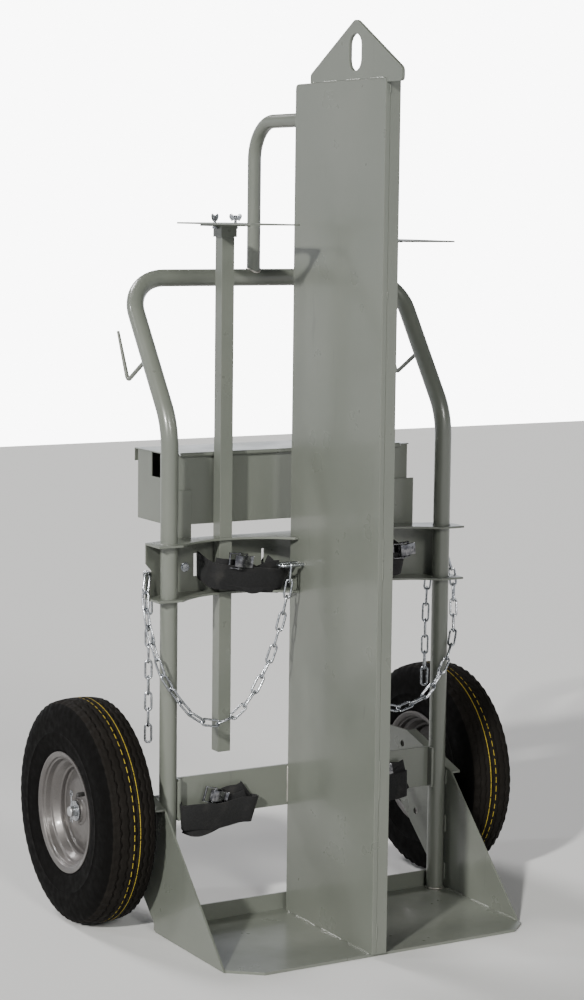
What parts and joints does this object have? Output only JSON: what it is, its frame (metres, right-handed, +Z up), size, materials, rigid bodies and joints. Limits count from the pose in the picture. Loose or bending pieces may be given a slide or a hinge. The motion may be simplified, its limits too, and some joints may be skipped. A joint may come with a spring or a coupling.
{
  "type": "gas cylinder cart",
  "caption": "Two-cylinder gas welding cart with a base pan, bent tube frame, central fire barrier with lifting eye, toolbox, chains, straps and pneumatic wheels.",
  "frame": {"origin": "on the ground, at the centre of the cart's width, in the plane of the frame tube's uprights", "axes": "+X to the right seen from the front, +Y to the back, towards the wheels, +Z up"},
  "size_m": [0.8712, 0.6949, 1.6255],
  "materials": {
    "grey_paint": "gloss powder coat in a slightly green grey",
    "silver_paint": "silver wheel paint with a light metallic fleck",
    "tyre": "black ribbed rubber with yellow tread lines",
    "black_rubber": "smooth black rubber",
    "zinc": "bright zinc plate",
    "chrome": "bright plated sheet steel",
    "steel": "bare turned steel",
    "webbing": "woven black webbing",
    "fireboard": "fibrous mineral board, hidden between the skins"
  },
  "bodies": {
    "cart": {"base_pan": "grey_paint", "frame_tube": "grey_paint", "brace_tube": "grey_paint", "firewall_left_skin": "grey_paint", "firewall_right_skin": "grey_paint", "firewall_core": "fireboard", "lift_plate": "grey_paint", "saddle_channel": "grey_paint", "lower_crossbar": "grey_paint", "axle": "steel", "toolbox_body": "grey_paint", "toolbox_hinge_pin": "steel", "side_plate_left": "grey_paint", "axle_spacer_left": "steel", "axle_washer_left": "zinc", "cotter_pin_left": "zinc", "toolbox_bracket_left": "grey_paint", "toolbox_bolt_left": "zinc", "post_set_screw_left": "zinc", "hose_hook_left": "grey_paint", "chain_eye_left": "zinc", "strap_upper_left": "webbing", "strap_lower_left": "webbing", "side_plate_right": "grey_paint", "axle_spacer_right": "steel", "axle_washer_right": "zinc", "cotter_pin_right": "zinc", "toolbox_bracket_right": "grey_paint", "toolbox_bolt_right": "zinc", "post_set_screw_right": "zinc", "hose_hook_right": "grey_paint", "chain_eye_right": "zinc", "strap_upper_right": "webbing", "strap_lower_right": "webbing", "chain_left": "zinc", "chain_right": "zinc", "cam_buckle_upper_left": "chrome", "cam_buckle_upper_right": "chrome"},
    "toolbox_lid": {"toolbox_lid": "grey_paint"},
    "wheel_left": {"tyre_left": "tyre", "rim_left": "silver_paint", "hub_left": "silver_paint", "roller_bearing_left": "steel", "valve_stem_left": "black_rubber"},
    "retainer_left": {"retainer_post_left": "grey_paint", "retainer_head_left": "grey_paint", "retainer_plate_left": "grey_paint", "wing_screw_left_1": "zinc", "wing_screw_left_2": "zinc"},
    "wheel_right": {"tyre_right": "tyre", "rim_right": "silver_paint", "hub_right": "silver_paint", "roller_bearing_right": "steel", "valve_stem_right": "black_rubber"},
    "retainer_right": {"retainer_post_right": "grey_paint", "retainer_head_right": "grey_paint", "retainer_plate_right": "grey_paint", "wing_screw_right_1": "zinc", "wing_screw_right_2": "zinc"}
  },
  "joints": [
    {"name": "wheel_left_spin", "type": "hinge", "parent": "cart", "child": "wheel_left", "pos_m": [-0.3836, 0.144, 0.206], "axis": [1, 0, 0], "continuous": true},
    {"name": "wheel_right_spin", "type": "hinge", "parent": "cart", "child": "wheel_right", "pos_m": [0.3836, 0.144, 0.206], "axis": [1, 0, 0], "continuous": true},
    {"name": "toolbox_lid_hinge", "type": "hinge", "parent": "cart", "child": "toolbox_lid", "pos_m": [0, 0.057, 0.861], "axis": [1, 0, 0], "range_deg": [0, 90]},
    {"name": "retainer_left_slide", "type": "slide", "parent": "cart", "child": "retainer_left", "axis": [0, 0, 1], "range_m": [-0.24, 0.25]},
    {"name": "retainer_right_slide", "type": "slide", "parent": "cart", "child": "retainer_right", "axis": [0, 0, 1], "range_m": [-0.21, 0.28]}
  ]
}
